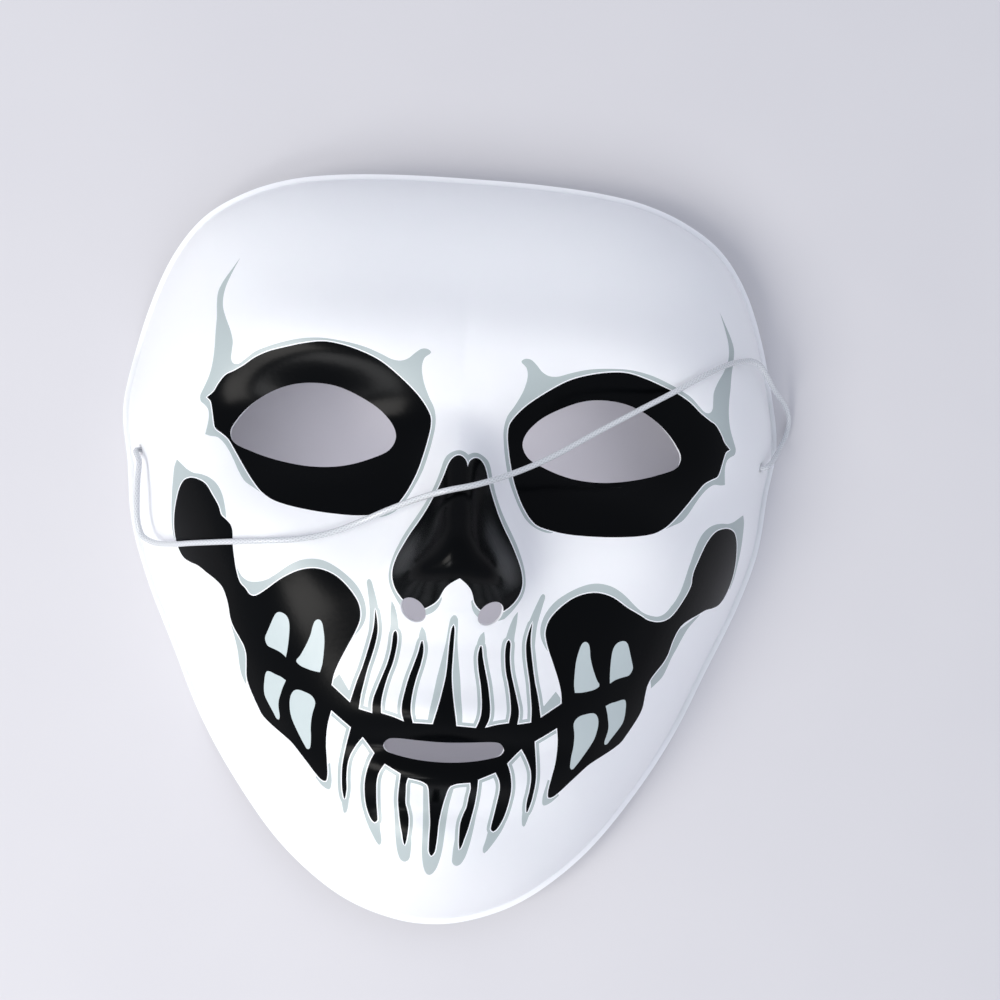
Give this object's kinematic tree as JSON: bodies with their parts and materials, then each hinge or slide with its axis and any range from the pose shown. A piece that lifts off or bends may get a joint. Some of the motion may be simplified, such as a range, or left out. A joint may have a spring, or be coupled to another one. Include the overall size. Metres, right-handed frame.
{
  "type": "skull face mask",
  "caption": "Thin moulded plastic full-face mask with eye, nostril and mouth openings, a printed skull figure and a round elastic.",
  "frame": {"origin": "centre of the mask's outline on the plane of its rim, without the elastic", "axes": "+X to the right as a viewer facing the mask sees it, +Y towards the forehead, +Z out of the face"},
  "size_m": [0.1878, 0.2, 0.0767],
  "materials": {
    "white_plastic": "thin moulded white plastic with a soft gloss and a printed black and pale grey skull figure",
    "white_elastic": "round braided white elastic"
  },
  "bodies": {
    "root": {"mask_shell": "white_plastic", "elastic_cord": "white_elastic", "knot_left": "white_elastic", "knot_right": "white_elastic"}
  },
  "joints": []
}
